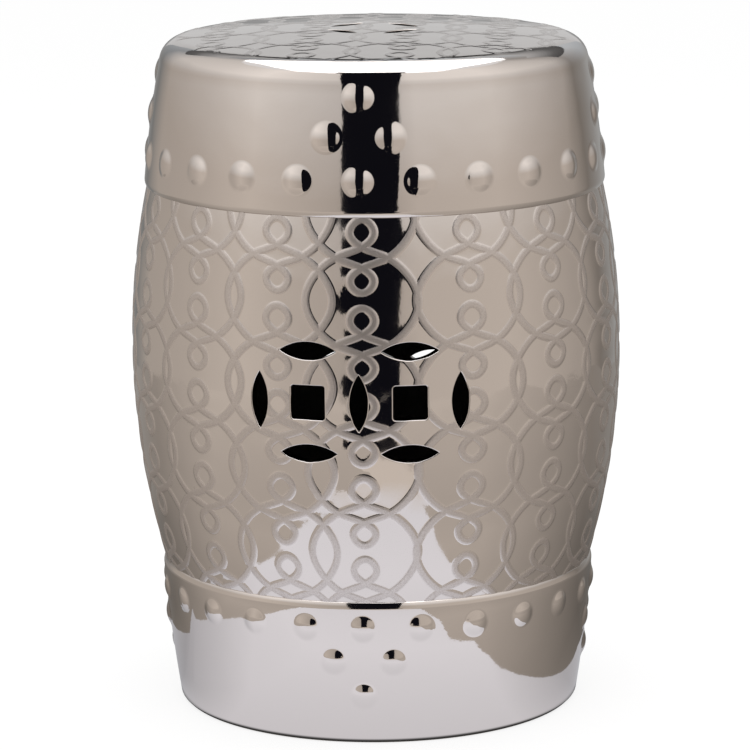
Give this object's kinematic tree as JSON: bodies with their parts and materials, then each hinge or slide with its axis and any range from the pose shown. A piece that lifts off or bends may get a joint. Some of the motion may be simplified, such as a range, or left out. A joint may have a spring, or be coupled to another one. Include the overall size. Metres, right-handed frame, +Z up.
{
  "type": "ceramic garden stool",
  "caption": "Drum-shaped hollow ceramic garden stool with a trellis-patterned barrel, pierced double-coin windows, domed studs on both bands and a mirror silver glaze.",
  "frame": {"origin": "centre of the foot circle on the floor", "axes": "+Z up along the stool's axis, -Y the front with one pierced motif, +X to the right seen from the front"},
  "size_m": [0.3342, 0.3342, 0.4615],
  "materials": {
    "platinum_glaze": "mirror-bright platinum lustre glaze, warm silver"
  },
  "bodies": {
    "root": {"seat_slab": "platinum_glaze", "shoulder_band": "platinum_glaze", "barrel_wall": "platinum_glaze", "barrel_trellis": "platinum_glaze", "foot_band": "platinum_glaze", "shoulder_stud_row": "platinum_glaze", "shoulder_stud_pendants": "platinum_glaze", "foot_stud_row": "platinum_glaze", "foot_stud_pendants": "platinum_glaze"}
  },
  "joints": []
}
